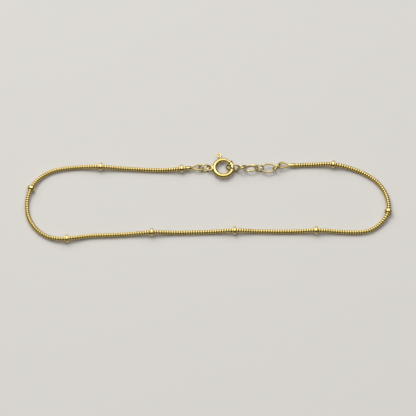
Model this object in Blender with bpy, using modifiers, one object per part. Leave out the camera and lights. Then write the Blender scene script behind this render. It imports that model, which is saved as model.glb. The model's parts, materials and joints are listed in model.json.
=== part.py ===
"""A gold snake chain bracelet with nine beads, a spring ring clasp and a short extension of wire links.

It lies closed on a surface at z = 0, as one loop. The row of fasteners is worked out from the clasp
outwards, each loop pulled taut in the last, and the chain runs round from one end cap to the other
through the chosen points of its route. Lengths are in metres, +Z is up and the fasteners lie at the back.
"""

import math

import bmesh
import bpy
import numpy as np
from mathutils import Matrix, Vector

MM = 0.001

# Clearances between pieces that fit in or hang from each other
CLEARANCE = 0.06 * MM
BORE_CLEARANCE = 0.08 * MM

# Snake chain
CHAIN_DIAMETER = 1.25 * MM
GROOVE_DEPTH = 0.11 * MM
LINK_PITCH = 0.74 * MM
CHAIN_SIDES = 10

# Beads, threaded on the chain: they are spaced evenly along it, and each slip is the share of the
# spacing by which a bead has slid from its even place
BEAD_DIAMETER = 2.35 * MM
BEAD_WIDTH = 0.86 * MM
BEAD_EDGE = 0.2 * MM
BEAD_SIDES = 12
FIRST_BEAD = 1.0 * MM
BEAD_SPACING = 22.2 * MM
BEAD_SLIPS = (0.0, -0.005, -0.04, -0.04, 0.0, 0.01, 0.005, 0.01, 0.06)
MEETING_BEAD = 5
LIFT_RUN = 7.0 * MM

# Wire that the loops, links and rings are bent from
WIRE_DIAMETER = 0.46 * MM
WIRE_SIDES = 6
LOOP_STEPS = 16

# End caps: a barrel, a tapered neck and a teardrop loop
CAP_DIAMETER = 1.29 * MM
CAP_LENGTH = 1.35 * MM
NECK_LENGTH = 0.75 * MM
TEARDROP_LENGTH = 3.3 * MM
TEARDROP_WIDTH = 2.2 * MM
TEARDROP_SET_IN = 0.35 * MM
CAP_SIDES = 12

# Jump ring, extension links and connector rings, outside sizes
JUMP_RING_LENGTH = 3.4 * MM
JUMP_RING_WIDTH = 2.5 * MM
LINK_LENGTH = 4.35 * MM
LINK_WIDTH = 3.0 * MM
CONNECTOR_DIAMETER = 2.8 * MM
OVAL_PINCH = 0.12

# Spring ring clasp
CLASP_DIAMETER = 6.1 * MM
CLASP_TUBE = 1.2 * MM
BOLT_DIAMETER = 0.7 * MM
CLASP_SIDES = 8
CLASP_STEP_DEG = 12.0
GAP_START_DEG = 42.0
GAP_END_DEG = 71.0
BOLT_ENTRY_DEG = 9.0
OPENING_MARGIN_DEG = 5.0
COLLAR_DIAMETER = 1.56 * MM
COLLAR_LENGTH = 0.36 * MM
COLLAR_PROUD = 0.03 * MM
EYE_PLAY = 0.57 * MM
EYE_SINK = 0.28 * MM
TRIGGER_DEG = 106.5
TRIGGER_LENGTH = 1.55 * MM
TRIGGER_WIDTH = 1.2 * MM
TRIGGER_WIRE = 0.46 * MM
TRIGGER_CLEARANCE = 0.12 * MM
TRIGGER_STEPS = 14
POST_DIAMETER = 0.4 * MM
BOLT_TAIL_DEG = 15.0

# Where the clasp's centre lies, seen from above
CLASP_X = 4.07 * MM
CLASP_Y = 8.66 * MM

# How each loop on the row lies: kind, roll about the row, dip of its right end and turn about the
# vertical in degrees, the place of its middle across the row from the clasp's centre, how high its
# lowest wire is held, and how far it lies short of taut
ROW_COLUMNS = ("name", "kind", "roll_deg", "dip_deg", "turn_deg", "across", "lift", "slack")
RIGHT_ROW = (
    ("extension_link_1", "link", 78.0, -4.0, -5.0, -0.14 * MM, 0.0, 0.70 * MM),
    ("connector_ring_1", "connector", -52.0, 7.0, 29.0, 0.02 * MM, 0.36 * MM, 0.0),
    ("extension_link_2", "link", -24.0, -2.0, 5.0, 0.10 * MM, 0.08 * MM, 0.0),
    ("connector_ring_2", "connector", 84.0, -5.0, -7.0, -0.13 * MM, 0.0, 0.0),
    ("extension_link_3", "link", 4.0, 3.0, 6.0, -0.11 * MM, 0.81 * MM, 0.0),
    ("connector_ring_3", "connector", -74.0, 4.0, 32.0, 0.29 * MM, 0.0, 0.0),
)
LEFT_ROW = (("jump_ring", "jump_ring", 58.0, 0.0, 0.0, 0.05 * MM, 0.0, 0.0),)

# How the end caps lie: turn about the vertical, dip of the loop below the barrel, roll about the
# barrel's axis, the place of the loop's tip across the row from the clasp's centre, and how far the
# loop lies short of taut
CAP_COLUMNS = ("turn_deg", "dip_deg", "roll_deg", "across", "slack")
LEFT_CAP_LIE = (5.6, 2.0, -6.0, 0.34 * MM, 0.55 * MM)
RIGHT_CAP_LIE = (183.0, -8.0, 6.0, 0.80 * MM, 0.0)

# The chain's route between the end caps, in chosen points seen from above, in millimetres
ROUTE_MM = (
    (-21.3, 8.6), (-29.2, 9.0), (-34.8, 9.1), (-39.0, 8.7), (-42.6, 7.8), (-45.6, 5.9), (-47.8, 3.1),
    (-49.0, -0.3), (-49.2, -3.9), (-48.3, -7.3), (-46.2, -10.3), (-43.3, -12.3), (-39.8, -13.1),
    (-36.3, -12.8), (-32.7, -12.1), (-27.3, -11.8), (-21.8, -11.5), (-13.8, -11.1), (-7.0, -11.0),
    (0.0, -10.8), (7.7, -10.6), (13.2, -10.6), (18.7, -10.7), (26.7, -10.6), (32.2, -10.6),
    (36.2, -10.8), (40.1, -10.9), (43.7, -10.3), (46.6, -8.3), (48.6, -5.3), (48.8, -1.8), (47.8, 1.7),
    (45.8, 4.6), (43.0, 6.8), (39.7, 8.4), (34.4, 9.7), (28.9, 9.9),
)
STRAIGHT_EXIT = 1.6 * MM

FINISHES = {
    "gold_chain": ((0.83, 0.62, 0.24, 1.0), 0.30),
    "gold_beads": ((0.86, 0.66, 0.28, 1.0), 0.16),
    "gold_fittings": ((0.85, 0.64, 0.26, 1.0), 0.20),
}

WELD = 1e-7


def clear_scene():
    for old in list(bpy.data.objects):
        bpy.data.objects.remove(old)


def new_collection(name):
    collection = bpy.data.collections.new(name)
    bpy.context.scene.collection.children.link(collection)
    return collection


def new_finish(name):
    colour, roughness = FINISHES[name]
    material = bpy.data.materials.new(name)
    material.use_nodes = True
    shader = material.node_tree.nodes["Principled BSDF"]
    shader.inputs["Base Color"].default_value = colour
    shader.inputs["Metallic"].default_value = 1.0
    shader.inputs["Roughness"].default_value = roughness
    material.diffuse_color = colour
    return material


def add_object(name, data, matrix, collection, finish=None):
    made = bpy.data.objects.new(name, data)
    made.matrix_world = matrix
    collection.objects.link(made)
    if finish is not None:
        data.materials.append(finish)
    return made


def as_helper(obj):
    """A helper shapes another piece through a Boolean and isn't a piece itself."""
    obj.hide_render = True
    obj.display_type = "WIRE"
    return obj


def wire_curve(name, points, diameter, sides, closed, radii=None):
    """Curve data for round wire along the points, with flat ends unless it is closed."""
    curve = bpy.data.curves.new(name, "CURVE")
    curve.dimensions = "3D"
    curve.bevel_depth = diameter / 2
    curve.bevel_resolution = (sides - 4) // 2
    curve.use_fill_caps = not closed
    spline = curve.splines.new("POLY")
    spline.points.add(len(points) - 1)
    spline.use_cyclic_u = closed
    spline.use_smooth = True
    for point, place in zip(spline.points, points):
        point.co = (*place, 1.0)
    for point, radius in zip(spline.points, radii if radii is not None else ()):
        point.radius = radius
    return curve


def wire_mesh(name, points, diameter, sides, closed, matrix, collection, finish=None):
    """The same wire as a mesh, its ends welded on, so that it can be cut and joined."""
    bent = add_object(name, wire_curve(name, points, diameter, sides, closed), matrix, collection)
    mesh = bpy.data.meshes.new_from_object(bent.evaluated_get(bpy.context.evaluated_depsgraph_get()))
    welded = bmesh.new()
    welded.from_mesh(mesh)
    bmesh.ops.remove_doubles(welded, verts=welded.verts, dist=WELD)
    bmesh.ops.recalc_face_normals(welded, faces=welded.faces)
    welded.to_mesh(mesh)
    welded.free()
    bpy.data.objects.remove(bent)
    return add_object(name, mesh, matrix, collection, finish)


def turned(name, profile, sides, matrix, collection, finish=None):
    """A solid turned about its own Z axis from (radius, height) points that run down its outside."""
    mesh = bpy.data.meshes.new(name)
    closed = min(radius for radius, height in profile) > WELD
    edges = [(i, i + 1) for i in range(len(profile) - 1)] + ([(len(profile) - 1, 0)] if closed else [])
    mesh.from_pydata([(radius, 0.0, height) for radius, height in profile], edges, [])
    made = add_object(name, mesh, matrix, collection, finish)
    screw = made.modifiers.new("turn", "SCREW")
    screw.axis = "Z"
    screw.steps = sides
    screw.render_steps = sides
    screw.use_merge_vertices = True
    screw.merge_threshold = WELD
    screw.use_smooth_shade = False
    return made


def join(piece, operation, others, crosses_itself=False):
    for other in others:
        boolean = piece.modifiers.new(other.name, "BOOLEAN")
        boolean.operation = operation
        boolean.solver = "EXACT"
        boolean.use_self = crosses_itself
        boolean.object = as_helper(other)


def axes_matrix(x, y, z, place):
    matrix = Matrix((x, y, z)).transposed().to_4x4()
    matrix.translation = place
    return matrix


def moved(points, matrix):
    rotation = np.array(matrix.to_3x3())
    return points @ rotation.T + np.array(matrix.translation)


def oval(length, width, pinch=OVAL_PINCH, steps=LOOP_STEPS):
    """Ellipse in its own XY plane, its long way along X, drawn in towards its two ends by the pinch."""
    angle = np.linspace(0, 2 * math.pi, steps, endpoint=False)
    x = np.cos(angle) * length / 2
    y = np.sin(angle) * (1 - pinch * np.cos(angle) ** 2) * width / 2
    return np.column_stack([x, y, np.zeros(steps)])


def circle(radius, steps=LOOP_STEPS):
    return oval(2 * radius, 2 * radius, pinch=0, steps=steps)


def teardrop(length, width, steps=LOOP_STEPS + 2):
    """Pear curve that starts in a point at the origin and ends in a round tip at +X."""
    angle = np.linspace(0, 2 * math.pi, steps, endpoint=False)
    bulge = np.sin(angle) * np.sin(angle / 2)
    fine = np.linspace(0, math.pi, 400)
    bulge *= width / 2 / np.max(np.sin(fine) * np.sin(fine / 2))
    return np.column_stack([length * (1 - np.cos(angle)) / 2, bulge, np.zeros(steps)])


def loop_of(kind):
    """The middle line of the wire of one kind of loop, from its outside size."""
    if kind == "link":
        return oval(LINK_LENGTH - WIRE_DIAMETER, LINK_WIDTH - WIRE_DIAMETER)
    if kind == "connector":
        return circle((CONNECTOR_DIAMETER - WIRE_DIAMETER) / 2)
    return oval(JUMP_RING_LENGTH - WIRE_DIAMETER, JUMP_RING_WIDTH - WIRE_DIAMETER)


def dense(points, closed=True, count=12):
    """Points at short steps along a middle line, for measuring how near two wires come."""
    ends = np.roll(points, -1, axis=0) if closed else points[1:]
    starts = points if closed else points[:-1]
    share = np.linspace(0, 1, count, endpoint=False)[:, None, None]
    return (starts + (ends - starts) * share).reshape(-1, 3)


def nearest(first, second):
    return float(np.min(np.linalg.norm(first[:, None] - second[None], axis=2)))


def pulled_taut(held, held_wire, loop, wire, side, slack=0.0):
    """How far to move a loop along X so that it hangs taut, but clear, in what holds it.

    side is +1 when the loop is pulled to the right. The search starts with the ends of the two just
    touching end to end inside, or short of that by the slack, then lets the loop slide back in until
    the wires are clear.
    """
    need = (held_wire + wire) / 2 + CLEARANCE
    held_end = held[:, 0].max() if side > 0 else held[:, 0].min()
    loop_end = loop[:, 0].min() if side > 0 else loop[:, 0].max()
    taut = held_end - loop_end - side * (need + slack)
    reach = loop[:, 0].max() - loop[:, 0].min()
    tries = [taut - side * back for back in np.linspace(0, reach / 2, 120)]
    shift = np.array([1.0, 0.0, 0.0])
    gaps = [nearest(held, loop + shift * x) for x in tries]
    clear = [x for x, gap in zip(tries, gaps) if gap >= need]
    return clear[0] if clear else tries[int(np.argmax(gaps))]


def turned_to(turn_deg, dip_deg, roll_deg):
    """Roll about the loop's long way first, then the dip of its far end, then the turn seen from above."""
    turn = Matrix.Rotation(math.radians(turn_deg), 4, "Z")
    dip = Matrix.Rotation(math.radians(dip_deg), 4, "Y")
    return turn @ dip @ Matrix.Rotation(math.radians(roll_deg), 4, "X")


def lying_matrix(points, roll_deg, dip_deg, turn_deg, across, lift):
    """Turns a loop to its lie and sets its lowest wire on the surface, or held above it by lift."""
    turn = turned_to(turn_deg, dip_deg, roll_deg)
    low = moved(points, turn)[:, 2].min()
    turn.translation = (0.0, CLASP_Y + across, WIRE_DIAMETER / 2 + lift - low)
    return turn


class Clasp:
    """The clasp's sizes and its frame: it lies level on the wires of the jump ring and the first link."""

    radius = (CLASP_DIAMETER - CLASP_TUBE) / 2
    bore = BOLT_DIAMETER + 2 * BORE_CLEARANCE
    opening_deg = GAP_END_DEG - GAP_START_DEG + BOLT_ENTRY_DEG + OPENING_MARGIN_DEG
    height = CLASP_TUBE / 2 + WIRE_DIAMETER + 1.5 * CLEARANCE
    matrix = Matrix.Translation((CLASP_X, CLASP_Y, height))
    eye_line_radius = WIRE_DIAMETER + EYE_PLAY / 2
    eye_centre = (-(CLASP_DIAMETER / 2 + eye_line_radius + WIRE_DIAMETER / 2 - EYE_SINK), 0.0, 0.0)


def arc(radius, start_deg, end_deg, step_deg=CLASP_STEP_DEG):
    steps = max(2, round((end_deg - start_deg) / step_deg)) + 1
    angle = np.radians(np.linspace(start_deg, end_deg, steps))
    return np.column_stack([radius * np.cos(angle), radius * np.sin(angle), np.zeros(steps)])


def ring_frame(angle_deg, radius):
    """A frame on the clasp's ring, its Z along the ring and its X pointing out from the centre."""
    angle = math.radians(angle_deg)
    out = Vector((math.cos(angle), math.sin(angle), 0.0))
    along = Vector((-math.sin(angle), math.cos(angle), 0.0))
    return axes_matrix(out, along.cross(out), along, out * radius)


def build_clasp_ring(parts, helpers, finish):
    """The hollow ring, open between its two ends, with a collar, an eye and a slot for the trigger."""
    tube_end = GAP_START_DEG + 360
    ring = wire_mesh(
        "clasp_ring", arc(Clasp.radius, GAP_END_DEG, tube_end), CLASP_TUBE, CLASP_SIDES, False,
        Clasp.matrix, parts, finish,
    )
    collar_profile = (
        (0.0, COLLAR_PROUD),
        (COLLAR_DIAMETER / 2, COLLAR_PROUD),
        (COLLAR_DIAMETER / 2, -COLLAR_LENGTH / 4),
        (CLASP_TUBE / 2 * 0.9, -COLLAR_LENGTH),
        (0.0, -COLLAR_LENGTH),
    )
    collar = turned(
        "clasp_collar_form", collar_profile, CAP_SIDES,
        Clasp.matrix @ ring_frame(GAP_START_DEG, Clasp.radius), helpers,
    )
    eye = wire_mesh(
        "clasp_eye_form", circle(Clasp.eye_line_radius), WIRE_DIAMETER, WIRE_SIDES, True,
        Clasp.matrix @ Matrix.Translation(Clasp.eye_centre), helpers,
    )
    join(ring, "UNION", (collar, eye))
    overrun_deg = math.degrees(2 * COLLAR_PROUD / Clasp.radius) + 2.0
    bore = wire_mesh(
        "clasp_bore_cutter", arc(Clasp.radius, GAP_END_DEG - overrun_deg, tube_end + overrun_deg),
        Clasp.bore, CLASP_SIDES, False, Clasp.matrix, helpers,
    )
    slot_radius = CLASP_DIAMETER / 2
    slot_width = POST_DIAMETER + 2 * TRIGGER_CLEARANCE
    slot_end_deg = TRIGGER_DEG + Clasp.opening_deg
    slot_room_deg = math.degrees(slot_width / 2 / slot_radius)
    slot = wire_mesh(
        "clasp_slot_cutter", arc(slot_radius, TRIGGER_DEG - slot_room_deg, slot_end_deg + slot_room_deg),
        slot_width, CLASP_SIDES, False, Clasp.matrix, helpers,
    )
    join(ring, "DIFFERENCE", (bore, slot))
    return ring


def build_clasp_bolt(parts, helpers, finish):
    """The curved bolt that closes the gap, with the post and the looped trigger on it."""
    bolt = wire_mesh(
        "clasp_bolt", arc(Clasp.radius, GAP_START_DEG - BOLT_ENTRY_DEG, TRIGGER_DEG + BOLT_TAIL_DEG),
        BOLT_DIAMETER, CLASP_SIDES, False, Clasp.matrix, parts, finish,
    )
    trigger_radius = CLASP_DIAMETER / 2 + TRIGGER_CLEARANCE + TRIGGER_LENGTH / 2
    here = Clasp.matrix @ Matrix.Rotation(math.radians(TRIGGER_DEG), 4, "Z")
    loop_length = TRIGGER_LENGTH - TRIGGER_WIRE
    loop_line = oval(loop_length, TRIGGER_WIDTH - TRIGGER_WIRE, pinch=0, steps=TRIGGER_STEPS)
    loop = wire_mesh(
        "trigger_loop_form", loop_line, TRIGGER_WIRE, CLASP_SIDES, True,
        here @ Matrix.Translation((trigger_radius, 0.0, 0.0)), helpers,
    )
    post_line = np.array([(Clasp.radius, 0.0, 0.0), (trigger_radius - loop_length / 2, 0.0, 0.0)])
    post = wire_mesh("trigger_post_form", post_line, POST_DIAMETER, CLASP_SIDES, False, here, helpers)
    join(bolt, "UNION", (post, loop))
    return bolt


def build_loop(name, points, matrix, parts, finish):
    curve = wire_curve(name, points, WIRE_DIAMETER, WIRE_SIDES, closed=True)
    return add_object(name, curve, matrix, parts, finish)


def teardrop_line():
    """The teardrop's middle line in the end cap's frame, whose X runs from the chain to the tip."""
    start = CAP_LENGTH + NECK_LENGTH - TEARDROP_SET_IN
    line = teardrop(TEARDROP_LENGTH - WIRE_DIAMETER / 2, TEARDROP_WIDTH - WIRE_DIAMETER)
    line[:, 0] += start
    return line


def build_end_cap(name, matrix, parts, helpers, finish):
    """A barrel that holds the chain's end, tapering to a neck with the teardrop loop soldered in."""
    radius = CAP_DIAMETER / 2
    profile = (
        (0.0, CAP_LENGTH + NECK_LENGTH),
        (WIRE_DIAMETER * 0.55, CAP_LENGTH + NECK_LENGTH),
        (WIRE_DIAMETER * 0.85, CAP_LENGTH + NECK_LENGTH * 0.45),
        (radius * 0.84, CAP_LENGTH),
        (radius, CAP_LENGTH * 0.8),
        (radius, CAP_LENGTH * 0.12),
        (radius * 0.9, 0.0),
        (0.0, 0.0),
    )
    upright = Matrix.Rotation(math.pi / 2, 4, "Y")
    cap = turned(name, profile, CAP_SIDES, matrix @ upright, parts, finish)
    loop = wire_mesh(
        name + "_loop_form", teardrop_line(), WIRE_DIAMETER, WIRE_SIDES, True, matrix, helpers,
    )
    join(cap, "UNION", (loop,), crosses_itself=True)
    return cap


def cap_matrix(lie, face_height, held, held_wire, side):
    """Where an end cap lies once its teardrop hangs in what holds it."""
    lie = dict(zip(CAP_COLUMNS, lie))
    turn = turned_to(lie["turn_deg"], lie["dip_deg"], lie["roll_deg"])
    line = dense(moved(teardrop_line(), turn))
    tip = line[np.argmax(np.abs(line[:, 0]))]
    turn.translation = (0.0, CLASP_Y + lie["across"] - tip[1], face_height)
    line = dense(moved(teardrop_line(), turn))
    turn.translation.x = pulled_taut(held, held_wire, line, WIRE_DIAMETER, side, lie["slack"])
    return turn


def bead_seat():
    """Height of a bead's middle when one of its flat sides lies on the surface."""
    return BEAD_DIAMETER / 2 * math.cos(math.pi / BEAD_SIDES)


def chain_height(at, bead_places):
    """The chain lies on the surface and rises in a smooth swell to pass through each bead."""
    rest = CAP_DIAMETER / 2
    swell = np.zeros_like(at)
    for place in bead_places:
        near = np.clip(np.abs(at - place) / LIFT_RUN, 0, 1)
        swell = np.maximum(swell, (1 + np.cos(math.pi * near)) / 2)
    return rest + (bead_seat() - rest) * swell


def smooth_curve(points, step):
    """Natural cubic spline through the points, read off at even steps of its length."""
    knots = np.r_[0, np.cumsum(np.linalg.norm(np.diff(points, axis=0), axis=1))]
    gap = np.diff(knots)
    count = len(points)
    system = np.zeros((count, count))
    system[0, 0] = 1
    system[-1, -1] = 1
    right = np.zeros_like(points)
    for i in range(1, count - 1):
        system[i, i - 1 : i + 2] = (gap[i - 1], 2 * (gap[i - 1] + gap[i]), gap[i])
        rise = (points[i + 1] - points[i]) / gap[i] - (points[i] - points[i - 1]) / gap[i - 1]
        right[i] = 6 * rise
    bend = np.linalg.solve(system, right)
    at = np.linspace(0, knots[-1], 4000)
    i = np.clip(np.searchsorted(knots, at, side="right") - 1, 0, count - 2)
    before = (at - knots[i])[:, None]
    after = (knots[i + 1] - at)[:, None]
    width = gap[i][:, None]
    line = (bend[i] * after**3 + bend[i + 1] * before**3) / (6 * width)
    line += (points[i] / width - bend[i] * width / 6) * after
    line += (points[i + 1] / width - bend[i + 1] * width / 6) * before
    length = np.r_[0, np.cumsum(np.linalg.norm(np.diff(line, axis=0), axis=1))]
    even = np.linspace(0, length[-1], max(2, round(length[-1] / step)) + 1)
    return np.column_stack([np.interp(even, length, line[:, k]) for k in range(line.shape[1])]), even


def chain_route(left_cap, right_cap):
    """Middle line of the whole chain seen from above, from one cap's face to the other's."""
    ends = []
    for cap in (left_cap, right_cap):
        face = cap.translation.copy()
        away = -cap.to_3x3().col[0]
        away.z = 0.0
        away.normalize()
        start = face + away * CLEARANCE
        ends.append((start.xy, (face + away * STRAIGHT_EXIT).xy))
    chosen = [Vector(place) * MM for place in ROUTE_MM]
    places = [ends[0][0], ends[0][1], *chosen, ends[1][1], ends[1][0]]
    return smooth_curve(np.array([tuple(place) for place in places]), LINK_PITCH / 8)


def build_chain(name, route, at, bead_places, start, end, parts, finish):
    """A length of snake chain: ridges and grooves in turn, one of each for every link."""
    links = max(2, round((end - start) / LINK_PITCH))
    places = np.linspace(start, end, 2 * links + 1)
    line = [np.interp(places, at, route[:, k]) for k in range(2)]
    points = np.column_stack([*line, chain_height(places, bead_places)])
    groove = 1 - 2 * GROOVE_DEPTH / CHAIN_DIAMETER
    radii = np.where(np.arange(2 * links + 1) % 2 == 1, 1.0, groove)
    curve = wire_curve(name, points, CHAIN_DIAMETER, CHAIN_SIDES, False, radii)
    return add_object(name, curve, Matrix.Identity(4), parts, finish)


def build_bead(name, centre, along, parts, finish):
    """A rondelle with softened edges, drilled for the chain, resting on one of its flat sides."""
    outer = BEAD_DIAMETER / 2
    inner = (CHAIN_DIAMETER / 2 + BORE_CLEARANCE) / math.cos(math.pi / BEAD_SIDES)
    half = BEAD_WIDTH / 2
    profile = (
        (outer, half - BEAD_EDGE),
        (outer, BEAD_EDGE - half),
        (outer - BEAD_EDGE, -half),
        (inner + BEAD_EDGE / 2, -half),
        (inner, BEAD_EDGE / 2 - half),
        (inner, half - BEAD_EDGE / 2),
        (inner + BEAD_EDGE / 2, half),
        (outer - BEAD_EDGE, half),
    )
    down = Vector((0.0, 0.0, -1.0))
    aside = along.cross(down)
    half_side = math.pi / BEAD_SIDES
    out = down * math.cos(half_side) + aside * math.sin(half_side)
    matrix = axes_matrix(out, along.cross(out), along, centre)
    return turned(name, profile, BEAD_SIDES, matrix, parts, finish)


def lay_row(row, held, held_wire, side):
    """Places each loop of a row taut in the one before it. Returns the matrices and the last loop."""
    placed = {}
    for values in row:
        lie = dict(zip(ROW_COLUMNS, values))
        points = loop_of(lie["kind"])
        matrix = lying_matrix(
            points, lie["roll_deg"], lie["dip_deg"], lie["turn_deg"], lie["across"], lie["lift"]
        )
        line = dense(moved(points, matrix))
        matrix.translation.x = pulled_taut(held, held_wire, line, WIRE_DIAMETER, side, lie["slack"])
        placed[lie["name"]] = (points, matrix)
        held = dense(moved(points, matrix))
        held_wire = WIRE_DIAMETER
    return placed, held


def stand_on_origin(parts):
    """Parents the pieces to an empty that brings the middle of the bracelet's box over the origin."""
    bpy.context.view_layer.update()
    graph = bpy.context.evaluated_depsgraph_get()
    corners = []
    for piece in parts.objects:
        shape = piece.evaluated_get(graph)
        corners += [piece.matrix_world @ vertex.co for vertex in shape.to_mesh().vertices]
        shape.to_mesh_clear()
    low = [min(corner[k] for corner in corners) for k in range(2)]
    high = [max(corner[k] for corner in corners) for k in range(2)]
    centre = bpy.data.objects.new("bracelet_origin", None)
    bpy.context.scene.collection.objects.link(centre)
    for piece in list(bpy.data.objects):
        if piece is not centre:
            piece.parent = centre
    centre.location = (-(low[0] + high[0]) / 2, -(low[1] + high[1]) / 2, 0.0)


def main():
    clear_scene()
    parts = new_collection("snake_chain_bracelet")
    helpers = new_collection("helpers")
    finishes = {name: new_finish(name) for name in FINISHES}
    fittings = finishes["gold_fittings"]

    build_clasp_ring(parts, helpers, fittings)
    build_clasp_bolt(parts, helpers, fittings)

    tube_line = moved(arc(Clasp.radius, -60.0, 40.0, 2.0), Clasp.matrix)
    right_row, right_end = lay_row(RIGHT_ROW, tube_line, CLASP_TUBE, 1)
    eye_line = moved(circle(Clasp.eye_line_radius) + np.array(Clasp.eye_centre), Clasp.matrix)
    left_row, left_end = lay_row(LEFT_ROW, dense(eye_line), WIRE_DIAMETER, -1)
    for name, (points, matrix) in {**left_row, **right_row}.items():
        build_loop(name, points, matrix, parts, fittings)

    cap_rest = CAP_DIAMETER / 2
    first_height = float(chain_height(np.array([0.0]), [FIRST_BEAD])[0])
    left_cap = cap_matrix(LEFT_CAP_LIE, first_height, left_end, WIRE_DIAMETER, -1)
    right_cap = cap_matrix(RIGHT_CAP_LIE, cap_rest, right_end, WIRE_DIAMETER, 1)
    build_end_cap("end_cap_left", left_cap, parts, helpers, fittings)
    build_end_cap("end_cap_right", right_cap, parts, helpers, fittings)

    route, at = chain_route(left_cap, right_cap)
    bead_places = [FIRST_BEAD + (i + slip) * BEAD_SPACING for i, slip in enumerate(BEAD_SLIPS)]
    for i, place in enumerate(bead_places):
        spot = [float(np.interp(place, at, route[:, k])) for k in range(2)]
        ahead = [float(np.interp(place + LINK_PITCH, at, route[:, k])) for k in range(2)]
        along = (Vector(ahead) - Vector(spot)).to_3d().normalized()
        build_bead(f"bead_{i + 1}", Vector((*spot, bead_seat())), along, parts, finishes["gold_beads"])
    middle = bead_places[MEETING_BEAD - 1]
    chain_finish = finishes["gold_chain"]
    build_chain(
        "snake_chain_left", route, at, bead_places, 0.0, middle - CLEARANCE / 2, parts, chain_finish
    )
    build_chain(
        "snake_chain_right", route, at, bead_places, middle + CLEARANCE / 2, at[-1], parts, chain_finish
    )
    stand_on_origin(parts)


main()
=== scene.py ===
"""A gold snake chain bracelet, fastened and lying in a flat loop on a pale floor.

Every shape here is a surface worked out as whole arrays: a ring of points carried along a middle line.
The places of the links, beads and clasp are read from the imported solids. Lengths are in metres.
"""

import json
import math

import bpy
import numpy as np
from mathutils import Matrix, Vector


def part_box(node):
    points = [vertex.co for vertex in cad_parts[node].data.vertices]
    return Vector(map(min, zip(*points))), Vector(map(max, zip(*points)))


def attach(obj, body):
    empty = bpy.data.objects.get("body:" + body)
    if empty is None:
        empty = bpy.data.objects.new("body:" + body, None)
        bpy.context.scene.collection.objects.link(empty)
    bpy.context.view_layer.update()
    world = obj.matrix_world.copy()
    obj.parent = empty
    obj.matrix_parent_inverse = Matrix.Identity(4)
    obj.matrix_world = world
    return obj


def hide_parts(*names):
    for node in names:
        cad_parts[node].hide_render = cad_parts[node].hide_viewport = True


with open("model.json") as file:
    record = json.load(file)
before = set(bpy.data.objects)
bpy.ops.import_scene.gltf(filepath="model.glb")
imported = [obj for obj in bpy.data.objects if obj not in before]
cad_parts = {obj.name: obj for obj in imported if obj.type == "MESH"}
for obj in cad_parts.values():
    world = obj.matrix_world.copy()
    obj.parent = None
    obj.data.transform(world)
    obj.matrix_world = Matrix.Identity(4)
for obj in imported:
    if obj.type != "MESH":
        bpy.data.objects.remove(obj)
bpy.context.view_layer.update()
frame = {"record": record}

MM = 0.001
UP = np.array([0.0, 0.0, 1.0])

# Camera, at the photograph's height above the surface
LENS = 400.0
SENSOR = 36.0
CAMERA_DISTANCE = 1254.6 * MM
CAMERA_ELEVATION = 62.0
CAMERA_AIM = (-0.156 * MM, -2.566 * MM, 0.0)
CAMERA_CLIP_START = 10.0 * MM

# Snake chain
CHAIN_RADIUS = 0.625 * MM
GROOVE_DEPTH = 0.22 * MM
LINK_PITCH = 0.65 * MM
CHAIN_AROUND = 16
SADDLE_WAVE = 0.07 * MM
WAVE_FADE = 1.2 * MM
CHAIN_REST = 0.645 * MM
LIFT_RUN = 7.0 * MM
CHAIN_GAP = 0.06 * MM

# Across one link: places along it as shares of the pitch, and how deep each lies below the crest as a
# share of the groove's depth
LINK_PLACES = np.array([0.0, 0.2, 0.5, 0.8])
LINK_DEPTHS = np.array([1.0, 0.22, 0.0, 0.22])

# Painted shade in the grooves: a place at share d of the groove's depth is d to this power of the way to the
# painted shade's dark colour
GROOVE_SHADE = 0.4

# How the chain is turned about itself along its length: distance from the left cap in millimetres and
# turn in degrees
CHAIN_TURNS = ((0.0, 20.0), (40.0, 110.0), (80.0, 150.0), (120.0, 260.0), (160.0, 330.0), (200.0, 420.0))

# The chain's route, in chosen points seen from above, in millimetres, and where they are measured from
ROUTE_MM = (
    (-21.3, 8.6), (-29.2, 9.0), (-34.8, 9.1), (-39.0, 8.7), (-42.6, 7.8), (-45.6, 5.9), (-47.8, 3.1),
    (-49.0, -0.3), (-49.2, -3.9), (-48.3, -7.3), (-46.2, -10.3), (-43.3, -12.3), (-39.8, -13.1),
    (-36.3, -12.8), (-32.7, -12.1), (-27.3, -11.8), (-21.8, -11.5), (-13.8, -11.1), (-7.0, -11.0),
    (0.0, -10.8), (7.7, -10.6), (13.2, -10.6), (18.7, -10.7), (26.7, -10.6), (32.2, -10.6),
    (36.2, -10.8), (40.1, -10.9), (43.7, -10.3), (46.6, -8.3), (48.6, -5.3), (48.8, -1.8), (47.8, 1.7),
    (45.8, 4.6), (43.0, 6.8), (39.7, 8.4), (34.4, 9.7), (28.9, 9.9),
)
ROUTE_FROM_MM = (-0.011, 0.52)
ROUTE_DETAIL = 4000
ROUTE_STEP = LINK_PITCH / 8
STRAIGHT_EXIT = 1.6 * MM

# Beads
BEAD_NAMES = tuple(f"bead_{i}" for i in range(1, 10))
MEETING_BEAD = "bead_5"
BEAD_RADIUS = 1.135 * MM
BEAD_WIDTH = 0.86 * MM
BEAD_EDGE = 0.3 * MM
BEAD_EDGE_STEPS = 8
BEAD_BORE = 0.70 * MM
BEAD_SINK = 0.14 * MM
BEAD_SINK_STEPS = 5
BEAD_AROUND = 48

# Wire of the loops, links and rings
WIRE_RADIUS = 0.23 * MM
WIRE_AROUND = 18
WIRE_STEPS = 120
WIRE_DETAIL = 2001
SEAM_WIDTH = 0.045 * MM
SEAM_DEPTH = 0.22

# Outside length, outside width and pinch of each kind of loop
LOOP_SIZES = {
    "jump_ring": (3.4 * MM, 2.5 * MM, 0.12),
    "link": (4.35 * MM, 3.0 * MM, 0.12),
    "connector": (2.8 * MM, 2.8 * MM, 0.0),
}

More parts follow.
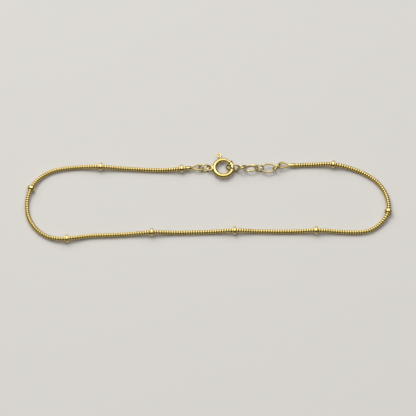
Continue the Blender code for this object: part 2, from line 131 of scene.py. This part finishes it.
# Each loop on the row: name, kind, roll about the row, dip of its right end, turn about the vertical,
# and the place of its joint round the loop, all in degrees
LOOPS = (
    ("jump_ring", "jump_ring", 58.0, 0.0, 0.0, 250.0),
    ("extension_link_1", "link", 78.0, -4.0, -5.0, 300.0),
    ("connector_ring_1", "connector", -52.0, 7.0, 29.0, 80.0),
    ("extension_link_2", "link", -24.0, -2.0, 5.0, 262.0),
    ("connector_ring_2", "connector", 84.0, -5.0, -7.0, 100.0),
    ("extension_link_3", "link", 4.0, 3.0, 6.0, 98.0),
    ("connector_ring_3", "connector", -74.0, 4.0, 32.0, 60.0),
)

# End caps: the middle of the face that the chain goes into, and turn, dip and roll in degrees
END_CAPS = {
    "end_cap_left": ((-6.267 * MM, 9.05 * MM, 1.111 * MM), (5.6, 2.0, -6.0)),
    "end_cap_right": ((23.724 * MM, 10.229 * MM, 0.645 * MM), (183.0, -8.0, 6.0)),
}
CAP_AROUND = 40

# The cap's outline: distance from its face and radius, in millimetres
CAP_OUTLINE_MM = (
    (0.00, 0.50), (0.00, 0.57), (0.03, 0.61), (0.10, 0.645), (0.19, 0.645), (0.27, 0.61), (0.31, 0.575),
    (0.36, 0.575), (0.41, 0.60), (0.55, 0.615), (0.85, 0.62), (1.08, 0.605), (1.22, 0.565), (1.36, 0.50),
    (1.52, 0.435), (1.70, 0.385), (1.88, 0.34), (2.02, 0.29), (2.09, 0.20), (2.10, 0.08),
)
TEARDROP_START = 1.75 * MM
TEARDROP_LENGTH = 3.3 * MM
TEARDROP_WIDTH = 2.2 * MM

# Clasp: its tube, open between two angles round it
CLASP_RADIUS = 2.45 * MM
TUBE_RADIUS = 0.6 * MM
TUBE_AROUND = 28
TUBE_STEPS = 132
TUBE_BORE = 0.43 * MM
TUBE_EDGE = 0.06 * MM
GAP_START_DEG = 42.0
GAP_END_DEG = 71.0

# The collar's outline: distance along the tube from its end and radius, in millimetres
COLLAR_OUTLINE_MM = (
    (-0.36, 0.52), (-0.36, 0.60), (-0.30, 0.63), (-0.20, 0.70), (-0.11, 0.765), (-0.05, 0.78),
    (0.00, 0.775), (0.03, 0.75), (0.03, 0.50), (-0.10, 0.50),
)
COLLAR_AROUND = 40
EYE_RADIUS = 0.745 * MM
EYE_DISTANCE = 3.745 * MM
EYE_STEPS = 72

# The bolt in the tube, its trigger, and the slot that the trigger's post slides in
BOLT_RADIUS = 0.35 * MM
BOLT_SPAN_DEG = (33.0, 121.5)
BOLT_EDGE = 0.21 * MM
BOLT_STEPS = 48
BOLT_AROUND = 24
TRIGGER_DEG = 106.5
TRIGGER_LENGTH = 1.55 * MM
TRIGGER_WIDTH = 1.2 * MM
TRIGGER_WIRE = 0.23 * MM
TRIGGER_DISTANCE = 3.945 * MM
TRIGGER_STEPS = 56
TRIGGER_AROUND = 20
POST_RADIUS = 0.2 * MM
POST_STEPS = 8
SLOT_RADIUS = 0.32 * MM
SLOT_EDGE = 0.288 * MM
SLOT_OPENING_DEG = 43.0
SLOT_STEPS = 30
SLOT_AROUND = 20
OUTSIDE_RADIUS = 3.05 * MM

# Steps of a rounded end, and the angles above which an edge is kept crisp
ROUND_END_STEPS = 6
SHARP_DEG = 40.0
CHAIN_SHARP_DEG = 60.0

# Golds of one alloy, each made lighter or darker as painted light: colour of the crests (lightest on the
# chain), colour of the painted shade in grooves and bores and of the wire's seam, and roughness at its least
# and most
GOLDS_WITH_PAINTED_LIGHT = {
    "chain_gold": ((1.0, 0.80, 0.30), (0.10, 0.045, 0.006), 0.285, 0.34),
    "bead_gold": ((0.76, 0.61, 0.26), (0.30, 0.19, 0.05), 0.12, 0.24),
    "fitting_gold": ((0.57, 0.455, 0.165), (0.24, 0.15, 0.04), 0.12, 0.26),
    "wire_gold": ((0.56, 0.47, 0.215), (0.24, 0.16, 0.05), 0.14, 0.28),
}

# Warmer patches in the gold, and the fine handling marks on it
WARM_SHARE = (0.94, 0.88, 0.76)
WARM_SCALE = 450.0
WARM_DETAIL = 3.0
MARKS_SCALE = 5200.0
MARKS_DETAIL = 4.0
MARKS_RANGE = (0.3, 0.7)
MARKS_STRENGTH = 0.12
MARKS_HEIGHT = 0.01 * MM

# Floor of pale paper
FLOOR_SIZE = 3.0
FLOOR_DROP = 0.01 * MM
FLOOR_COLOUR = (0.56, 0.552, 0.535)
FLOOR_ROUGHNESS = 0.85
FLOOR_SPECULAR = 0.2
GRAIN_SCALE = 1500.0
GRAIN_STRENGTH = 0.05
GRAIN_HEIGHT = 0.05 * MM

# Light tent: its middle, the angles from it between which its light fades, its least and most glow, and
# its colour
TENT_MIDDLE = (-0.10, 0.30, 0.95)
TENT_EDGES_DEG = (38.0, 56.0)
TENT_GLOW = (0.04, 1.9)
TENT_COLOUR = (1.0, 0.98, 0.95)

# Soft key light behind the bracelet: its place, the length of its sides and its power in watts
KEY_PLACE = (-0.12, 0.24, 0.46)
KEY_SIDE = 0.16
KEY_POWER = 0.8


def unit(vectors):
    """Each vector divided by its length."""
    return vectors / np.linalg.norm(vectors, axis=-1, keepdims=True)


def surface(name, rows, looped=False, painted_shade_and_seam=None):
    """Mesh over a grid of points, rows by places round each row.

    Every row closes on itself. The last row meets the first when the grid is looped, or else the two
    ends are closed with flat faces. The last argument tells for each point, from 0 to 1, how far its
    colour goes to the darker one: painted shade in grooves and bores, and the wire's seam.
    """
    count, around = rows.shape[:2]
    row = np.arange(count if looped else count - 1)[:, None]
    place = np.arange(around)[None, :]
    corners = [(row, place), (row, place + 1), (row + 1, place + 1), (row + 1, place)]
    quads = np.stack([(r % count) * around + p % around for r, p in corners], axis=-1)
    faces = quads.reshape(-1, 4).tolist()
    spread = [np.stack([(r + 0 * p) / count, (p + 0 * r) / around], axis=-1) for r, p in corners]
    flat = np.stack(spread, axis=2).reshape(-1)
    if not looped:
        faces += [list(range(around))[::-1], list(range((count - 1) * around, count * around))]
        flat = np.r_[flat, np.zeros(4 * around)]
    mesh = bpy.data.meshes.new(name)
    mesh.from_pydata(rows.reshape(-1, 3).tolist(), [], faces)
    mesh.uv_layers.new(name="UVMap").data.foreach_set("uv", flat)
    depth = np.zeros(rows.shape[:2]) if painted_shade_and_seam is None else np.broadcast_to(painted_shade_and_seam, rows.shape[:2])
    mesh.attributes.new("painted_shade_and_seam", "FLOAT", "POINT").data.foreach_set("value", depth.reshape(-1))
    return mesh


def carried(line, ahead, out, radius, around):
    """Rings of points round a line: line + radius * (cos a * out + sin a * (ahead x out)).

    radius is one number, or has one for each row.
    """
    angle = np.linspace(0, 2 * math.pi, around, endpoint=False)
    radius = np.broadcast_to(radius, len(line))[:, None, None]
    aside = np.cross(ahead, out)
    ring = np.cos(angle)[None, :, None] * out[:, None] + np.sin(angle)[None, :, None] * aside[:, None]
    return line[:, None] + radius * ring


def piece(name, mesh, finish, sharp_deg=SHARP_DEG):
    """An object at the origin with smooth faces, but with edges sharper than the angle kept crisp."""
    made = bpy.data.objects.new(name, mesh)
    bpy.context.scene.collection.objects.link(made)
    finished(made, finish, sharp_deg)
    return made


def finished(made, finish, sharp_deg=SHARP_DEG):
    """Smooths the mesh up to the sharp angle and gives it its finish."""
    mesh = made.data
    mesh.validate()
    mesh.polygons.foreach_set("use_smooth", np.ones(len(mesh.polygons), dtype=bool))
    mesh.set_sharp_from_angle(angle=math.radians(sharp_deg))
    mesh.materials.clear()
    mesh.materials.append(finish)


def soldered(made, others, operation, finish, crosses_itself=False):
    """Joins the other surfaces to a piece, or cuts them from it, and keeps the result as its mesh."""
    for other in others:
        step = made.modifiers.new(other.name, "BOOLEAN")
        step.operation = operation
        step.solver = "EXACT"
        step.use_self = crosses_itself
        step.object = other
    graph = bpy.context.evaluated_depsgraph_get()
    mesh = bpy.data.meshes.new_from_object(made.evaluated_get(graph))
    made.modifiers.clear()
    made.data = mesh
    for other in others:
        bpy.data.objects.remove(other)
    finished(made, finish)


def keep(made, body, node):
    """The piece moves with the body and stands for the node."""
    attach(made, body)
    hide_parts(node)


def box_middle(node):
    """Middle of the node's box: half the sum of its lowest and its highest corner."""
    low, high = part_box(node)
    return (np.array(low) + np.array(high)) / 2


def turn_matrix(turn_deg, dip_deg, roll_deg):
    """Roll about X first, then dip about Y, then turn about Z, as a 3 by 3 matrix."""
    angles = np.radians([turn_deg, dip_deg, roll_deg])
    c, s = np.cos(angles), np.sin(angles)
    turn = np.array([[c[0], -s[0], 0], [s[0], c[0], 0], [0, 0, 1]])
    dip = np.array([[c[1], 0, s[1]], [0, 1, 0], [-s[1], 0, c[1]]])
    roll = np.array([[1, 0, 0], [0, c[2], -s[2]], [0, s[2], c[2]]])
    return turn @ dip @ roll


def even_steps(line, steps):
    """The closed line read off again at even steps of its length."""
    length = np.r_[0, np.cumsum(np.linalg.norm(np.diff(line, axis=0), axis=1))]
    even = np.linspace(0, length[-1], steps, endpoint=False)
    return np.column_stack([np.interp(even, length, line[:, k]) for k in range(3)])


def oval_line(length, width, pinch, steps=WIRE_STEPS):
    """Pinched ellipse x = a * cos t, y = b * sin t * (1 - pinch * cos(t)^2), at even steps of its length."""
    angle = np.linspace(0, 2 * math.pi, WIRE_DETAIL)
    x = np.cos(angle) * length / 2
    y = np.sin(angle) * (1 - pinch * np.cos(angle) ** 2) * width / 2
    return even_steps(np.column_stack([x, y, np.zeros_like(x)]), steps)


def teardrop_line(steps=WIRE_STEPS):
    """Pear curve x = L*(1 - cos a)/2, y = W*sin a*sin(a/2), pointed at its start, at even steps."""
    angle = np.linspace(0, 2 * math.pi, WIRE_DETAIL)
    bulge = np.sin(angle) * np.sin(angle / 2)
    length = TEARDROP_LENGTH - WIRE_RADIUS
    width = TEARDROP_WIDTH / 2 - WIRE_RADIUS
    x = length * (1 - np.cos(angle)) / 2
    return even_steps(np.column_stack([x, width * bulge / bulge.max(), np.zeros_like(x)]), steps)


def wire_seam(line, joint_deg):
    """How near each point is to the joint of the wire's two ends: exp(-(s / w)^2), s its distance."""
    angle = math.radians(joint_deg)
    place = np.argmax(line @ np.array([math.cos(angle), math.sin(angle), 0.0]))
    return np.exp(-(np.linalg.norm(line - line[place], axis=1) / SEAM_WIDTH) ** 2)


def wire_loop(line, radius, around):
    """Round wire along a closed flat line: rings that stand square to the line at each of its points."""
    ahead = unit(np.roll(line, -1, axis=0) - np.roll(line, 1, axis=0))
    return carried(line, ahead, np.cross(ahead, UP), radius, around)


def rounded_rod(start, end, radius, edge, steps):
    """Places along a rod from start to end and its radius at each, both ends rounded by the edge."""
    swing = np.linspace(0, math.pi / 2, ROUND_END_STEPS)
    into = edge * (1 - np.cos(swing))
    shrink = radius - edge * (1 - np.sin(swing))
    middle = np.linspace(start + edge, end - edge, steps)[1:-1]
    places = np.r_[start + into, middle, (end - into)[::-1]]
    return places, np.r_[shrink, np.full(len(middle), radius), shrink[::-1]]


def arc_line(places, radius):
    """Points, directions and outward directions on a circle, at distances along it from angle 0."""
    angle = places / radius
    out = np.column_stack([np.cos(angle), np.sin(angle), np.zeros_like(angle)])
    ahead = np.column_stack([-np.sin(angle), np.cos(angle), np.zeros_like(angle)])
    return radius * out, ahead, out


def smooth_curve(points, step):
    """Natural cubic spline through the points, read off at even steps of its length."""
    knots = np.r_[0, np.cumsum(np.linalg.norm(np.diff(points, axis=0), axis=1))]
    gap = np.diff(knots)
    count = len(points)
    system = np.eye(count)
    right = np.zeros_like(points)
    inner = np.arange(1, count - 1)
    system[inner, inner - 1] = gap[:-1]
    system[inner, inner] = 2 * (gap[:-1] + gap[1:])
    system[inner, inner + 1] = gap[1:]
    rise = np.diff(points, axis=0) / gap[:, None]
    right[1:-1] = 6 * np.diff(rise, axis=0)
    bend = np.linalg.solve(system, right)
    at = np.linspace(0, knots[-1], ROUTE_DETAIL)
    i = np.clip(np.searchsorted(knots, at, side="right") - 1, 0, count - 2)
    before, after, width = (at - knots[i])[:, None], (knots[i + 1] - at)[:, None], gap[i][:, None]
    line = (bend[i] * after**3 + bend[i + 1] * before**3) / (6 * width)
    line += (points[i] / width - bend[i] * width / 6) * after
    line += (points[i + 1] / width - bend[i + 1] * width / 6) * before
    length = np.r_[0, np.cumsum(np.linalg.norm(np.diff(line, axis=0), axis=1))]
    even = np.linspace(0, length[-1], max(2, round(length[-1] / step)) + 1)
    return np.column_stack([np.interp(even, length, line[:, k]) for k in range(2)]), even


def gold(name):
    """Polished gold alloy: painted shade darkens the grooves and bores, the wire's seam is darker, and fine
    handling marks vary the gloss.
    """
    crest, painted_shade_and_seam, least, most = GOLDS_WITH_PAINTED_LIGHT[name]
    material = bpy.data.materials.new(name)
    material.use_nodes = True
    nodes, links = material.node_tree.nodes, material.node_tree.links
    shader = nodes["Principled BSDF"]
    shader.inputs["Metallic"].default_value = 1.0
    place = nodes.new("ShaderNodeTexCoord")
    depth = nodes.new("ShaderNodeAttribute")
    depth.attribute_name = "painted_shade_and_seam"
    tone = nodes.new("ShaderNodeTexNoise")
    tone.inputs["Scale"].default_value = WARM_SCALE
    tone.inputs["Detail"].default_value = WARM_DETAIL
    warm = nodes.new("ShaderNodeMix")
    warm.data_type = "RGBA"
    warm.inputs["A"].default_value = (*crest, 1.0)
    warm.inputs["B"].default_value = (*(part * share for part, share in zip(crest, WARM_SHARE)), 1.0)
    # Painted shade: the attribute takes the colour to the darker one in grooves and bores, and at the wire's
    # seam.
    shade = nodes.new("ShaderNodeMix")
    shade.data_type = "RGBA"
    shade.inputs["B"].default_value = (*painted_shade_and_seam, 1.0)
    marks = nodes.new("ShaderNodeTexNoise")
    marks.inputs["Scale"].default_value = MARKS_SCALE
    marks.inputs["Detail"].default_value = MARKS_DETAIL
    gloss = nodes.new("ShaderNodeMapRange")
    gloss.inputs["From Min"].default_value = MARKS_RANGE[0]
    gloss.inputs["From Max"].default_value = MARKS_RANGE[1]
    gloss.inputs["To Min"].default_value = least
    gloss.inputs["To Max"].default_value = most
    bump = nodes.new("ShaderNodeBump")
    bump.inputs["Strength"].default_value = MARKS_STRENGTH
    bump.inputs["Distance"].default_value = MARKS_HEIGHT
    links.new(place.outputs["Object"], tone.inputs["Vector"])
    links.new(place.outputs["Object"], marks.inputs["Vector"])
    links.new(tone.outputs["Fac"], warm.inputs["Factor"])
    links.new(depth.outputs["Fac"], shade.inputs["Factor"])
    links.new(warm.outputs["Result"], shade.inputs["A"])
    links.new(shade.outputs["Result"], shader.inputs["Base Color"])
    links.new(marks.outputs["Fac"], gloss.inputs["Value"])
    links.new(gloss.outputs["Result"], shader.inputs["Roughness"])
    links.new(marks.outputs["Fac"], bump.inputs["Height"])
    links.new(bump.outputs["Normal"], shader.inputs["Normal"])
    return material


class Route:
    """The chain's middle line from the left cap's face to the right cap's, by distance along it."""

    def __init__(self):
        ends = []
        for face, (turn, dip, roll) in END_CAPS.values():
            away = -turn_matrix(turn, dip, roll)[:2, 0]
            away /= np.linalg.norm(away)
            ends.append([np.array(face[:2]) + away * reach for reach in (CHAIN_GAP, STRAIGHT_EXIT)])
        chosen = (np.array(ROUTE_MM) + np.array(ROUTE_FROM_MM)) * MM
        places = np.array([ends[0][0], ends[0][1], *chosen, ends[1][1], ends[1][0]])
        self.plan, self.at = smooth_curve(places, ROUTE_STEP)
        beads = np.array([box_middle(name)[:2] for name in BEAD_NAMES])
        nearest = np.argmin(np.linalg.norm(self.plan[:, None] - beads[None], axis=2), axis=0)
        self.bead_places = dict(zip(BEAD_NAMES, self.at[nearest]))

    def points(self, at):
        """Middle line at the distances: the plan's x and y, and a smooth swell up into each bead.

        The swell is (1 + cos(pi * d / run)) / 2 at the distance d from a bead, and 0 past the run.
        """
        swell = np.zeros_like(at)
        for place in self.bead_places.values():
            near = np.clip(np.abs(at - place) / LIFT_RUN, 0, 1)
            swell = np.maximum(swell, (1 + np.cos(math.pi * near)) / 2)
        x = np.interp(at, self.at, self.plan[:, 0])
        y = np.interp(at, self.at, self.plan[:, 1])
        return np.stack([x, y, CHAIN_REST + (BEAD_RADIUS - CHAIN_REST) * swell], axis=-1)

    def ahead(self, at):
        """Direction of the middle line: the difference of its points a quarter link on and back."""
        step = LINK_PITCH / 4
        return unit(self.points(at + step) - self.points(at - step))


def chain_mesh(name, route, start, end):
    """Nested saddle-shaped links.

    A point of link i at share t and angle a lies at s = start + (i + t) * pitch + w * cos(2 * (a - turn))
    along the middle line, and at radius R - depth(t) from it.
    """
    count = max(2, round((end - start) / LINK_PITCH))
    pitch = (end - start) / count
    share = np.r_[(np.arange(count)[:, None] + LINK_PLACES[None, :]).reshape(-1), count]
    depth = np.r_[np.tile(LINK_DEPTHS, count), LINK_DEPTHS[0]]
    at = start + share * pitch
    angle = np.linspace(0, 2 * math.pi, CHAIN_AROUND, endpoint=False)
    turns = np.array(CHAIN_TURNS)
    turn = np.radians(np.interp(at / MM, turns[:, 0], turns[:, 1]))
    fade = np.clip(np.minimum(at - start, end - at) / WAVE_FADE, 0, 1)
    along = at[:, None] + SADDLE_WAVE * fade[:, None] * np.cos(2 * (angle[None, :] - turn[:, None]))
    middle = route.points(along)
    ahead = route.ahead(along)
    side = unit(np.cross(UP, ahead))
    above = np.cross(ahead, side)
    ring = np.cos(angle)[None, :, None] * side + np.sin(angle)[None, :, None] * above
    radius = CHAIN_RADIUS - GROOVE_DEPTH * depth
    rows = middle + radius[:, None, None] * ring
    # Painted shade: each groove is darkened by its depth.
    return surface(name, rows, painted_shade_and_seam=(depth ** GROOVE_SHADE)[:, None])


def build_chain(route, finish):
    """The links in two runs, from the left cap to the middle of the meeting bead and on to the right cap."""
    meeting = route.bead_places[MEETING_BEAD]
    spans = {
        "snake_chain_left": (0.0, meeting - CHAIN_GAP / 2),
        "snake_chain_right": (meeting + CHAIN_GAP / 2, route.at[-1]),
    }
    for node, (start, end) in spans.items():
        name = node + "_links"
        made = piece(name, chain_mesh(name, route, start, end), finish, CHAIN_SHARP_DEG)
        keep(made, "bracelet", node)


def bead_rows(centre, ahead):
    """A turned bead: a closed outline of (radius, place along the chain) carried round the chain."""
    half = BEAD_WIDTH / 2
    swing = np.linspace(0, math.pi / 2, BEAD_EDGE_STEPS)
    crown = BEAD_RADIUS - BEAD_EDGE * (1 - np.sin(swing))
    edge = half - BEAD_EDGE * (1 - np.cos(swing))
    sink = np.linspace(0, 1, BEAD_SINK_STEPS)
    mouth = BEAD_BORE + BEAD_SINK * (1 - sink) ** 2
    deep = half - BEAD_SINK * sink
    radius = np.r_[crown, crown[::-1], mouth, mouth[::-1]]
    place = np.r_[-edge, edge[::-1], deep, -deep[::-1]]
    line = centre + place[:, None] * ahead
    out = unit(np.cross(UP, ahead))
    # Painted shade: the sunk mouth darkens into the bore.
    painted_shade_and_seam = np.r_[np.zeros(2 * len(crown)), sink, sink[::-1]]
    count = len(radius)
    rows = carried(line, np.tile(ahead, (count, 1)), np.tile(out, (count, 1)), radius, BEAD_AROUND)
    return rows, painted_shade_and_seam[:, None]


def build_beads(route, finish):
    """A turned bead at the middle of each bead node's box, its bore level and along the chain."""
    for node in BEAD_NAMES:
        ahead = route.ahead(np.array([route.bead_places[node]]))[0]
        ahead = unit(ahead * np.array([1.0, 1.0, 0.0]))
        rows, painted_shade_and_seam = bead_rows(box_middle(node), ahead)
        name = node + "_turned"
        made = piece(name, surface(name, rows, looped=True, painted_shade_and_seam=painted_shade_and_seam), finish)
        keep(made, "bracelet", node)


def build_loops(finish):
    """The jump ring, links and connector rings, each turned to its lie at the middle of its node's box.

    The wire's radius is r * (1 - d * seam), so that a fine groove shows where its two ends meet.
    """
    for node, kind, roll, dip, turn, joint in LOOPS:
        length, width, pinch = LOOP_SIZES[kind]
        line = oval_line(length - 2 * WIRE_RADIUS, width - 2 * WIRE_RADIUS, pinch)
        seam = wire_seam(line, joint)
        rows = wire_loop(line, WIRE_RADIUS * (1 - SEAM_DEPTH * seam), WIRE_AROUND)
        rows = rows @ turn_matrix(turn, dip, roll).T + box_middle(node)
        name = node + "_wire"
        made = piece(name, surface(name, rows, looped=True, painted_shade_and_seam=seam[:, None]), finish)
        keep(made, "bracelet", node)


def build_end_caps(finish):
    """A turned barrel with a rolled lip, tapering to a neck, with a teardrop of wire soldered in it."""
    outline = np.array(CAP_OUTLINE_MM) * MM
    count = len(outline)
    line = np.column_stack([outline[:, 0], np.zeros(count), np.zeros(count)])
    ahead = np.tile([1.0, 0.0, 0.0], (count, 1))
    barrel_rows = carried(line, ahead, np.tile(UP, (count, 1)), outline[:, 1], CAP_AROUND)
    loop_rows = wire_loop(teardrop_line() + np.array([TEARDROP_START, 0, 0]), WIRE_RADIUS, WIRE_AROUND)
    for node, (face, lie) in END_CAPS.items():
        turn = turn_matrix(*lie).T
        name = node + "_turned"
        barrel = piece(name, surface(name, barrel_rows @ turn + face), finish)
        loop = piece(name + "_loop", surface(name, loop_rows @ turn + face, looped=True), finish)
        soldered(barrel, [loop], "UNION", finish, crosses_itself=True)
        keep(barrel, "bracelet", node)


def clasp_tube(centre, finish):
    """The open ring: its outside from one end to the other, and back along the bore inside it."""
    start = math.radians(GAP_END_DEG) * CLASP_RADIUS
    end = math.radians(GAP_START_DEG + 360) * CLASP_RADIUS
    outside, radius = rounded_rod(start, end, TUBE_RADIUS, TUBE_EDGE, TUBE_STEPS)
    inside = np.linspace(end - TUBE_EDGE, start + TUBE_EDGE, TUBE_STEPS)
    mouth = TUBE_BORE + TUBE_EDGE
    places = np.r_[outside, end, inside, start]
    radius = np.r_[radius, mouth, np.full(TUBE_STEPS, TUBE_BORE), mouth]
    # Painted shade: the inside of the bore takes the dark colour.
    painted_shade_and_seam = np.r_[np.zeros(len(outside) + 1), np.ones(TUBE_STEPS), 0.0]
    rows = carried(*arc_line(places, CLASP_RADIUS), radius, TUBE_AROUND) + centre
    mesh = surface("clasp_ring_tube", rows, looped=True, painted_shade_and_seam=painted_shade_and_seam[:, None])
    return piece("clasp_ring_tube", mesh, finish)


def clasp_collar(centre, finish):
    """The flared collar: its outline carried round the tube at the tube's end."""
    outline = np.array(COLLAR_OUTLINE_MM) * MM
    place, ahead, out = arc_line(np.array([math.radians(GAP_START_DEG) * CLASP_RADIUS]), CLASP_RADIUS)
    count = len(outline)
    line = place + outline[:, :1] * ahead
    ahead, out = np.tile(ahead, (count, 1)), np.tile(out, (count, 1))
    rows = carried(line, ahead, out, outline[:, 1], COLLAR_AROUND) + centre
    return piece("clasp_collar", surface("clasp_collar", rows, looped=True), finish)


def clasp_eye(centre, finish):
    """The round loop of wire on the side of the clasp that the jump ring hangs in."""
    line = oval_line(2 * EYE_RADIUS, 2 * EYE_RADIUS, 0.0, EYE_STEPS)
    rows = wire_loop(line, WIRE_RADIUS, WIRE_AROUND) + centre - np.array([EYE_DISTANCE, 0, 0])
    return piece("clasp_eye", surface("clasp_eye", rows, looped=True), finish)


def clasp_slot(centre, finish):
    """What is cut from the tube's outer side for the trigger: a rod with round ends, as long as its way."""
    start = math.radians(TRIGGER_DEG) * OUTSIDE_RADIUS - SLOT_RADIUS
    end = math.radians(TRIGGER_DEG + SLOT_OPENING_DEG) * OUTSIDE_RADIUS + SLOT_RADIUS
    places, radius = rounded_rod(start, end, SLOT_RADIUS, SLOT_EDGE, SLOT_STEPS)
    rows = carried(*arc_line(places, OUTSIDE_RADIUS), radius, SLOT_AROUND) + centre
    return piece("clasp_slot", surface("clasp_slot", rows), finish)


def build_clasp_ring(centre, finish):
    """The ring, a tube with a bore, with its collar and eye, and the slot cut for the trigger."""
    ring = clasp_tube(centre, finish)
    soldered(ring, [clasp_collar(centre, finish), clasp_eye(centre, finish)], "UNION", finish)
    soldered(ring, [clasp_slot(centre, finish)], "DIFFERENCE", finish)
    keep(ring, "bracelet", "clasp_ring")


def build_clasp_bolt(centre, finish):
    """The curved bolt, a rod with round ends, and its trigger: an oval loop of wire on a short post."""
    start, end = [math.radians(angle) * CLASP_RADIUS for angle in BOLT_SPAN_DEG]
    places, radius = rounded_rod(start, end, BOLT_RADIUS, BOLT_EDGE, BOLT_STEPS)
    rows = carried(*arc_line(places, CLASP_RADIUS), radius, BOLT_AROUND) + centre
    bolt = piece("clasp_bolt_rod", surface("clasp_bolt_rod", rows), finish)
    turn = turn_matrix(TRIGGER_DEG, 0.0, 0.0)
    out = turn[:, 0]
    loop_length = TRIGGER_LENGTH - 2 * TRIGGER_WIRE
    line = oval_line(loop_length, TRIGGER_WIDTH - 2 * TRIGGER_WIRE, 0.0, TRIGGER_STEPS)
    rows = wire_loop(line, TRIGGER_WIRE, TRIGGER_AROUND) @ turn.T + centre + out * TRIGGER_DISTANCE
    loop = piece("trigger_loop", surface("trigger_loop", rows, looped=True), finish)
    reach = np.linspace(CLASP_RADIUS, TRIGGER_DISTANCE - loop_length / 2, POST_STEPS)
    ahead, above = np.tile(out, (POST_STEPS, 1)), np.tile(UP, (POST_STEPS, 1))
    rows = carried(reach[:, None] * out, ahead, above, POST_RADIUS, TRIGGER_AROUND) + centre
    post = piece("trigger_post", surface("trigger_post", rows), finish)
    soldered(bolt, [post, loop], "UNION", finish)
    keep(bolt, "clasp_bolt", "clasp_bolt")


def build_floor():
    """A wide, pale, faintly grained floor."""
    half = FLOOR_SIZE / 2
    mesh = bpy.data.meshes.new("floor")
    corners = [(-half, -half, 0), (half, -half, 0), (half, half, 0), (-half, half, 0)]
    mesh.from_pydata(corners, [], [(0, 1, 2, 3)])
    floor = bpy.data.objects.new("floor", mesh)
    bpy.context.scene.collection.objects.link(floor)
    floor.location.z = -FLOOR_DROP
    material = bpy.data.materials.new("floor_paper")
    material.use_nodes = True
    nodes, links = material.node_tree.nodes, material.node_tree.links
    shader = nodes["Principled BSDF"]
    shader.inputs["Base Color"].default_value = (*FLOOR_COLOUR, 1.0)
    shader.inputs["Roughness"].default_value = FLOOR_ROUGHNESS
    shader.inputs["Specular IOR Level"].default_value = FLOOR_SPECULAR
    grain = nodes.new("ShaderNodeTexNoise")
    grain.inputs["Scale"].default_value = GRAIN_SCALE
    bump = nodes.new("ShaderNodeBump")
    bump.inputs["Strength"].default_value = GRAIN_STRENGTH
    bump.inputs["Distance"].default_value = GRAIN_HEIGHT
    place = nodes.new("ShaderNodeTexCoord")
    links.new(place.outputs["Object"], grain.inputs["Vector"])
    links.new(grain.outputs["Fac"], bump.inputs["Height"])
    links.new(bump.outputs["Normal"], shader.inputs["Normal"])
    mesh.materials.append(material)


def build_key_light():
    """A square soft light behind the bracelet and above it, turned to face the origin."""
    light = bpy.data.lights.new("key_behind", "AREA")
    light.shape = "RECTANGLE"
    light.size = KEY_SIDE
    light.size_y = KEY_SIDE
    light.energy = KEY_POWER
    lamp = bpy.data.objects.new("key_behind", light)
    bpy.context.scene.collection.objects.link(lamp)
    away = unit(np.array(KEY_PLACE))
    lamp.location = KEY_PLACE
    lamp.rotation_euler = (math.acos(away[2]), 0.0, math.atan2(away[0], -away[1]))


def build_tent():
    """A light tent: bright overhead, where d = direction . middle is near 1, and dark near the horizon."""
    world = bpy.data.worlds.new("tent")
    world.use_nodes = True
    nodes, links = world.node_tree.nodes, world.node_tree.links
    back = nodes["Background"]
    back.inputs["Color"].default_value = (*TENT_COLOUR, 1.0)
    place = nodes.new("ShaderNodeTexCoord")
    nearness = nodes.new("ShaderNodeVectorMath")
    nearness.operation = "DOT_PRODUCT"
    nearness.inputs[1].default_value = tuple(unit(np.array(TENT_MIDDLE)))
    glow = nodes.new("ShaderNodeMapRange")
    glow.interpolation_type = "SMOOTHSTEP"
    glow.inputs["From Min"].default_value = math.cos(math.radians(TENT_EDGES_DEG[1]))
    glow.inputs["From Max"].default_value = math.cos(math.radians(TENT_EDGES_DEG[0]))
    glow.inputs["To Min"].default_value = TENT_GLOW[0]
    glow.inputs["To Max"].default_value = TENT_GLOW[1]
    links.new(place.outputs["Generated"], nearness.inputs[0])
    links.new(nearness.outputs["Value"], glow.inputs["Value"])
    links.new(glow.outputs["Result"], back.inputs["Strength"])
    bpy.context.scene.world = world


def build_camera():
    """The camera, its distance from its aim along the line of sight, looking down by its elevation."""
    lens = bpy.data.cameras.new("camera")
    lens.lens = LENS
    lens.sensor_width = SENSOR
    lens.clip_start = CAMERA_CLIP_START
    camera = bpy.data.objects.new("camera", lens)
    bpy.context.scene.collection.objects.link(camera)
    tilt = math.radians(CAMERA_ELEVATION)
    back = np.array([0.0, -math.cos(tilt), math.sin(tilt)])
    camera.location = np.array(CAMERA_AIM) + CAMERA_DISTANCE * back
    camera.rotation_euler = (math.pi / 2 - tilt, 0.0, 0.0)
    bpy.context.scene.camera = camera


build_floor()
build_key_light()
build_tent()
bpy.context.scene.view_settings.view_transform = "Standard"
build_camera()

golds = {name: gold(name) for name in GOLDS_WITH_PAINTED_LIGHT}
route = Route()
clasp_centre = np.array(frame["record"]["behaviour"]["joints"][0]["pos_m"])
build_chain(route, golds["chain_gold"])
build_beads(route, golds["bead_gold"])
build_loops(golds["wire_gold"])
build_end_caps(golds["fitting_gold"])
build_clasp_ring(clasp_centre, golds["fitting_gold"])
build_clasp_bolt(clasp_centre, golds["fitting_gold"])
